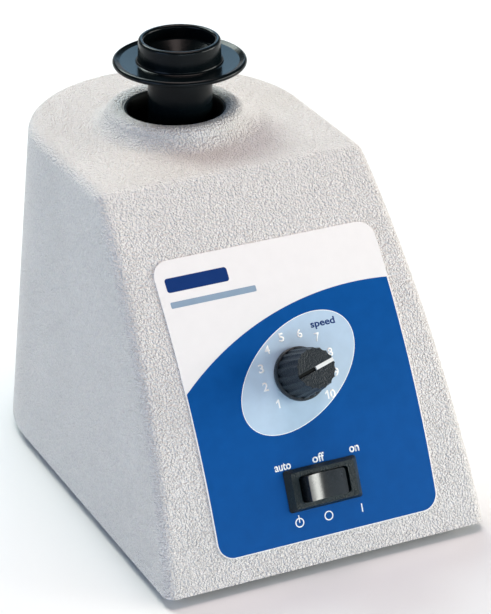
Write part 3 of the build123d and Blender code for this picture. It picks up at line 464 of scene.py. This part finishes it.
# painted highlight: the white line round the blue field stands in for light on the overlay's
# cut edge
EDGE_HIGHLIGHT_LINE = 0.5 * MM  # white line left round the blue field
SWITCH_HOLE = (27.4 * MM, 12.8 * MM)
KNOB_HOLE = 8 * MM  # opening in the print, hidden under the knob
DIAL_CENTRE = (0.1 * MM, 0.8 * MM)
DIAL_LONG = 30.1 * MM
DIAL_SHORT = 17.7 * MM
DIAL_TILT = radians(34.1)
ARC_CENTRE = (33.5 * MM, -95.4 * MM)
ARC_RADIUS = 126.5 * MM
SLICE = 2 * MM  # height of the slices that let artwork bend over the panel
MERGE = 0.001 * MM
FONT_SIZE = 5 * MM  # before words are scaled to their width and height
RING_OUTER = 1.9 * MM
RING_INNER = 1.45 * MM
RING_POINTS = 48
STROKE = 0.11  # thickening of the white lettering, in millimetres
switch_v = up_slope(SWITCH_HEIGHT)


def filled(*outlines):
    """Flat mesh inside the first outline and outside the others."""
    curve = bpy.data.curves.new("outlines", "CURVE")
    curve.dimensions = "2D"
    curve.fill_mode = "BOTH"
    for outline in outlines:
        spline = curve.splines.new("POLY")
        spline.points.add(len(outline) - 1)
        for point, (x, y) in zip(spline.points, outline):
            point.co = (x, y, 0, 1)
        spline.use_cyclic_u = True
    return flat_mesh(curve)


def flat_mesh(curve):
    """Mesh of a curve or text's filled area."""
    holder = bpy.data.objects.new(curve.name, curve)
    bpy.context.scene.collection.objects.link(holder)
    bpy.context.view_layer.update()
    evaluated = holder.evaluated_get(bpy.context.evaluated_depsgraph_get())
    flat = bpy.data.meshes.new_from_object(evaluated)
    bpy.data.objects.remove(holder)
    return flat


def lay_on_panel(flat, name, level, finish):
    """Bend a flat mesh (u, v) over the overlay as one thin printed layer."""
    work = bmesh.new()
    work.from_mesh(flat)
    bmesh.ops.remove_doubles(work, verts=work.verts[:], dist=MERGE)
    bmesh.ops.triangulate(work, faces=work.faces[:])
    lowest = min(vert.co.y for vert in work.verts)
    highest = max(vert.co.y for vert in work.verts)
    slices = int((highest - lowest) / SLICE)
    for cut in range(1, slices):
        at = lowest + (highest - lowest) * cut / slices
        everything = work.verts[:] + work.edges[:] + work.faces[:]
        bmesh.ops.bisect_plane(work, geom=everything, plane_co=(0, at, 0), plane_no=(0, 1, 0))
    bmesh.ops.dissolve_degenerate(work, dist=MERGE, edges=work.edges[:])
    bmesh.ops.triangulate(work, faces=work.faces[:])
    for face in work.faces:
        if face.normal.z < 0:
            face.normal_flip()
    walls = bmesh.ops.extrude_face_region(work, geom=work.faces[:])
    raised = {part for part in walls["geom"] if isinstance(part, bmesh.types.BMVert)}
    for vert in work.verts:
        lift = (level + 1) * SHEET if vert in raised else 0.0
        vert.co = on_panel(vert.co.x, vert.co.y, lift)
    bmesh.ops.recalc_face_normals(work, faces=work.faces[:])
    mesh = bpy.data.meshes.new(name)
    work.to_mesh(mesh)
    work.free()
    mesh.materials.append(finish)
    made = bpy.data.objects.new(name, mesh)
    bpy.context.scene.collection.objects.link(made)
    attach(made, "body")


def ellipse(centre, long, short, tilt=0.0, count=96):
    """Points round a tilted ellipse."""
    points = []
    for step in range(count):
        angle = 2 * pi * step / count
        x = long * cos(angle)
        y = short * sin(angle)
        across = centre[0] + x * cos(tilt) - y * sin(tilt)
        points.append((across, centre[1] + x * sin(tilt) + y * cos(tilt)))
    return points


def rounded_bar(left, low, right, high, corner):
    """Points round a bar with round corners."""
    points = []
    corners = [
        (right - corner, high - corner, 0),
        (left + corner, high - corner, 90),
        (left + corner, low + corner, 180),
        (right - corner, low + corner, 270),
    ]
    for x, y, start in corners:
        for step in range(7):
            angle = radians(start + 15 * step)
            points.append((x + corner * cos(angle), y + corner * sin(angle)))
    return points


def blue_outline():
    """The overlay's outline below one large rising arc."""
    left = -OVERLAY_HALF + EDGE_HIGHLIGHT_LINE
    right = OVERLAY_HALF - EDGE_HIGHLIGHT_LINE
    low = up_slope(OVERLAY_LOW) + EDGE_HIGHLIGHT_LINE
    corner = OVERLAY_CORNER - EDGE_HIGHLIGHT_LINE
    points = []
    for step in range(61):
        u = right + (left - right) * step / 60
        points.append((u, ARC_CENTRE[1] + sqrt(ARC_RADIUS**2 - (u - ARC_CENTRE[0]) ** 2)))
    for x, start in ((left + corner, 180), (right - corner, 270)):
        for step in range(13):
            angle = radians(start + 90 * step / 12)
            points.append((x + corner * cos(angle), low + corner + corner * sin(angle)))
    return points


def words(text, centre, width, height, name, finish, level, weight):
    """Printed word or number centred on a point; lengths in millimetres."""
    font = bpy.data.curves.new(name, "FONT")
    font.body = text
    font.size = FONT_SIZE
    font.offset = weight * MM
    font.resolution_u = 4
    flat = flat_mesh(font)
    xs = [vert.co.x for vert in flat.vertices]
    ys = [vert.co.y for vert in flat.vertices]
    to_middle = Matrix.Translation((-(min(xs) + max(xs)) / 2, -(min(ys) + max(ys)) / 2, 0))
    across = Matrix.Scale(width * MM / (max(xs) - min(xs)), 4, (1, 0, 0))
    upward = Matrix.Scale(height * MM / (max(ys) - min(ys)), 4, (0, 1, 0))
    to_place = Matrix.Translation((centre[0] * MM, centre[1] * MM, 0))
    flat.transform(to_place @ across @ upward @ to_middle)
    lay_on_panel(flat, name, level, finish)


switch_hole = rounded_bar(
    -SWITCH_HOLE[0] / 2,
    switch_v - SWITCH_HOLE[1] / 2,
    SWITCH_HOLE[0] / 2,
    switch_v + SWITCH_HOLE[1] / 2,
    0.1 * MM,
)
knob_hole = ellipse((0, 0), KNOB_HOLE, KNOB_HOLE)
lay_on_panel(filled(blue_outline(), knob_hole, switch_hole), "print_blue_field", 0, INK_BLUE)
dial_edge = ellipse(DIAL_CENTRE, DIAL_LONG, DIAL_SHORT, DIAL_TILT)
lay_on_panel(filled(dial_edge, knob_hole), "print_dial_edge", 1, INK_WHITE)
dial_face = ellipse(DIAL_CENTRE, DIAL_LONG - 0.3 * MM, DIAL_SHORT - 0.3 * MM, DIAL_TILT)
lay_on_panel(filled(dial_face, knob_hole), "print_dial_face", 2, INK_PALE)

NUMBER_SPOTS = (
    (-11.5, -9.6), (-15.0, -2.0), (-15.0, 5.2), (-10.6, 11.9), (-3.5, 15.5),
    (4.4, 15.5), (11.4, 12.6), (15.2, 5.8), (15.7, -2.4), (11.2, -10.3),
)
NUMBER_HIGH = 3.5


def figure_one(u, v, name):
    """The figure 1 with its flag, centred on a point."""
    half = NUMBER_HIGH / 2
    shape = (
        (0.1, -half), (0.75, -half), (0.75, half), (0.25, half),
        (-0.75, 0.45 * half), (-0.75, 0.1 * half), (0.1, 0.4 * half),
    )
    lay_on_panel(filled([((u + x) * MM, (v + y) * MM) for x, y in shape]), name, 3, INK_WHITE)


for number, spot in enumerate(NUMBER_SPOTS, 1):
    if number == 1:
        figure_one(*spot, "print_number_1")
    elif number == 10:
        figure_one(spot[0] - 1.5, spot[1], "print_number_10_left")
        zero = (spot[0] + 0.9, spot[1])
        words("0", zero, 2.4, NUMBER_HIGH, "print_number_10_right", INK_WHITE, 3, STROKE)
    else:
        name = f"print_number_{number}"
        words(str(number), spot, 2.3, NUMBER_HIGH, name, INK_WHITE, 3, STROKE)
words("speed", (15.25, 17.56), 10.6, 3.7, "print_speed", INK_NAVY, 3, 0.12)
words("auto", (-15.25, -33.8), 7.0, 2.9, "print_auto", INK_WHITE, 1, STROKE)
words("off", (0.27, -33.4), 5.3, 3.5, "print_off", INK_WHITE, 1, STROKE)
words("on", (16.1, -33.3), 4.3, 2.5, "print_on", INK_WHITE, 1, STROKE)


def ring_mark(u, v, name):
    """Small open circle."""
    centre = (u * MM, v * MM)
    outer = ellipse(centre, RING_OUTER, RING_OUTER, count=RING_POINTS)
    inner = ellipse(centre, RING_INNER, RING_INNER, count=RING_POINTS)
    lay_on_panel(filled(outer, inner), name, 1, INK_WHITE)


def bar_mark(left, low, right, high, name, level, finish):
    """Plain bar with slightly round corners; sides in millimetres."""
    corner = min(right - left, high - low) * 0.2
    bar = rounded_bar(left * MM, low * MM, right * MM, high * MM, corner * MM)
    lay_on_panel(filled(bar), name, level, finish)


ring_mark(-12.4, -56.6, "print_touch_ring")
bar_mark(-12.6, -56.6, -12.2, -53.6, "print_touch_stroke", 2, INK_WHITE)
ring_mark(0.3, -56.6, "print_off_ring")
bar_mark(14.68, -58.4, 15.12, -55.0, "print_on_stroke", 1, INK_WHITE)

# plain bars where a maker's panel would have its own print
bar_mark(-44.3, 41.7, -17.9, 47.5, "print_wide_bar", 0, INK_NAVY)
bar_mark(-44.5, 35.4, -8.1, 37.9, "print_thin_bar", 0, INK_GREY)

# ---------------------------------------------------------------- stage, camera, light

FLOOR_HALF = 4.0
WALL_RADIUS = 3.9
WALL_HIGH = 0.9
WALL_SIDES = 64
WALL_GLOW = 0.5
CAMERA_PLACE = (-0.45492, -0.98680, 0.60178)
CAMERA_ACROSS = (0.89911, -0.43772, -0.00013)  # the picture's own axes, in the scene
CAMERA_UPWARD = (0.19860, 0.40768, 0.89126)
CAMERA_LENS = 172.6  # millimetres, on a 36 mm sensor
CAMERA_SHIFT = (-0.03617, 0.06236)
WORLD = 0.03  # strength of the surroundings
AIM = (0, 0, 0.08)
# name, place, width and height, watts, colour
LIGHTS = (
    ("key", (1.42, -0.70, 0.38), (1.4, 0.5), 22.0, (0.98, 1.0, 0.94)),
    ("low", (-0.10, -1.70, 0.17), (1.6, 0.3), 7.4, (0.70, 0.87, 1.0)),
    ("top", (0.15, 0.1, 1.4), (0.9, 0.9), 11.4, (1.0, 0.83, 0.79)),
    ("left", (-1.3, -0.35, 0.55), (0.9, 0.9), 5.4, (0.42, 0.63, 1.0)),
    ("back_high", (-0.2, 1.1, 1.25), (0.7, 0.7), 19.0, (0.88, 1.0, 0.96)),
    ("back_low", (0.66, 1.40, 0.95), (0.8, 0.8), 4.2, (0.45, 0.74, 1.0)),
)

def floor():
    """Plain pale floor."""
    mesh = bpy.data.meshes.new("floor")
    side = FLOOR_HALF
    corners = [(-side, -side, 0), (side, -side, 0), (side, side, 0), (-side, side, 0)]
    mesh.from_pydata(corners, [], [(0, 1, 2, 3)])
    made, tree, surface = shader("floor_pale", (0.86, 0.86, 0.86), 0.7)
    uneven(tree, surface, noise(tree, 12), 0.66, 0.76)
    mesh.materials.append(made)
    plane = bpy.data.objects.new("floor", mesh)
    bpy.context.scene.collection.objects.link(plane)


def backdrop():
    """Low pale wall round the floor, faintly lit from itself."""
    points = []
    for step in range(WALL_SIDES):
        angle = 2 * pi * step / WALL_SIDES
        x, y = WALL_RADIUS * cos(angle), WALL_RADIUS * sin(angle)
        points += [(x, y, z) for z in (-0.01, WALL_HIGH)]
    count = len(points)
    faces = [(i, (i + 2) % count, (i + 3) % count, i + 1) for i in range(0, count, 2)]
    mesh = bpy.data.meshes.new("backdrop")
    mesh.from_pydata(points, [], faces)
    made, tree, surface = shader("backdrop_pale", (0.8, 0.8, 0.8), 0.9)
    surface.inputs["Emission Color"].default_value = (0.90, 0.94, 0.98, 1)
    surface.inputs["Emission Strength"].default_value = WALL_GLOW
    uneven(tree, surface, noise(tree, 3), 0.85, 0.95)
    mesh.materials.append(made)
    wall = bpy.data.objects.new("backdrop", mesh)
    bpy.context.scene.collection.objects.link(wall)


def area_light(name, place, target, size, power, colour):
    """Soft light aimed at a point; size is its width and height."""
    data = bpy.data.lights.new(name, "AREA")
    data.shape = "RECTANGLE"
    data.size = size[0]
    data.size_y = size[1]
    data.energy = power
    data.color = colour
    made = bpy.data.objects.new(name, data)
    made.location = place
    made.rotation_euler = (Vector(target) - Vector(place)).to_track_quat("-Z", "Y").to_euler()
    bpy.context.scene.collection.objects.link(made)


def camera():
    """Camera at the photograph's angle, with a long lens."""
    data = bpy.data.cameras.new("camera")
    data.sensor_width = 36
    data.lens = CAMERA_LENS
    data.shift_x, data.shift_y = CAMERA_SHIFT
    data.clip_start = 0.01
    made = bpy.data.objects.new("camera", data)
    made.location = CAMERA_PLACE
    across = Vector(CAMERA_ACROSS).normalized()
    upward = Vector(CAMERA_UPWARD).normalized()
    backward = across.cross(upward)
    turned = Matrix((across, upward, backward)).transposed()
    made.rotation_euler = turned.to_euler()
    bpy.context.scene.collection.objects.link(made)
    bpy.context.scene.camera = made


def sky():
    """Even pale surroundings."""
    world = bpy.data.worlds.new("studio")
    world.use_nodes = True
    background = world.node_tree.nodes["Background"]
    background.inputs["Color"].default_value = (0.88, 0.94, 1.0, 1)
    background.inputs["Strength"].default_value = WORLD
    bpy.context.scene.world = world


floor()
backdrop()
camera()
sky()
for light_name, place, size, power, colour in LIGHTS:
    area_light(light_name, place, AIM, size, power, colour)
bpy.context.scene.view_settings.view_transform = "Standard"
